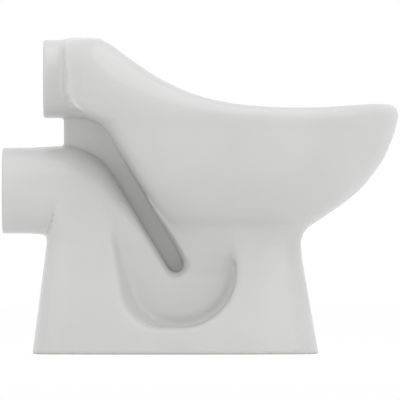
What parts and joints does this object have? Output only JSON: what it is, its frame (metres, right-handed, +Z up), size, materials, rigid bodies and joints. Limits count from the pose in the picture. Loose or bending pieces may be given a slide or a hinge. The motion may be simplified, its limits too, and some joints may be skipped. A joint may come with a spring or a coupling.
{
  "type": "child's floor-standing toilet pan",
  "caption": "Child-height floor-standing toilet pan in white vitreous china with a saddle-shaped rim, exposed trap, horizontal outlet and rear flush inlet.",
  "frame": {"origin": "On the floor, under the middle of the pan's bounding box.", "axes": "+X points from the outlet at the back to the front of the bowl, +Z up. The pan is symmetric about the plane Y = 0."},
  "size_m": [0.4756, 0.2914, 0.3788],
  "materials": {
    "china": "clear glaze over white vitreous china",
    "seal_rubber": "moulded black rubber",
    "sleeve_nylon": "natural nylon"
  },
  "bodies": {
    "root": {"rim": "china", "bowl": "china", "trap_bend": "china", "trapway": "china", "outlet_spigot": "china", "inlet_horn": "china", "rear_web": "china", "pedestal": "china", "flush_seal": "seal_rubber", "fixing_sleeves": "sleeve_nylon"}
  },
  "joints": []
}
